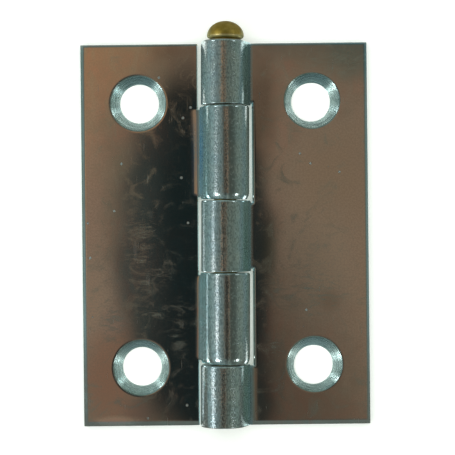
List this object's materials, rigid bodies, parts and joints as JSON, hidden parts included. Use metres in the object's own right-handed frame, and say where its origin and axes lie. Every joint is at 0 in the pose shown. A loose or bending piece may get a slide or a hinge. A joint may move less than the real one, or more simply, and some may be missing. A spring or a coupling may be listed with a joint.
{
  "type": "butt hinge",
  "caption": "Flat butt hinge of two pressed-steel leaves with rolled knuckles, countersunk screw holes and a loose brass pin with a domed head.",
  "frame": {"origin": "on the surface that the leaves' backs lie on, under the pin's axis, halfway between the leaves' lower end and the top of the pin's head", "axes": "+X across the leaves towards the one with the end knuckles, +Y along the pin towards its head, +Z out of the countersunk faces"},
  "size_m": [0.0382, 0.0534, 0.006],
  "materials": {
    "zinc_plated_steel": "bright zinc plating, mirror-like on the flats and finely speckled on the knuckles",
    "zinc_plated_steel_pair": "bright zinc plating, mirror-like on the flats and finely speckled on the knuckles",
    "brass": "satin, slightly tarnished"
  },
  "bodies": {
    "right_leaf": {"right_leaf": "zinc_plated_steel"},
    "left_leaf": {"left_leaf": "zinc_plated_steel_pair"},
    "pin": {"loose_pin": "brass"}
  },
  "joints": [
    {"name": "leaf_swing", "type": "hinge", "parent": "right_leaf", "child": "left_leaf", "pos_m": [0, 0, 0.003], "axis": [0, 1, 0], "range_deg": [-95, 190]},
    {"name": "pin_pull", "type": "slide", "parent": "right_leaf", "child": "pin", "axis": [0, 1, 0], "range_m": [0, 0.052]}
  ]
}
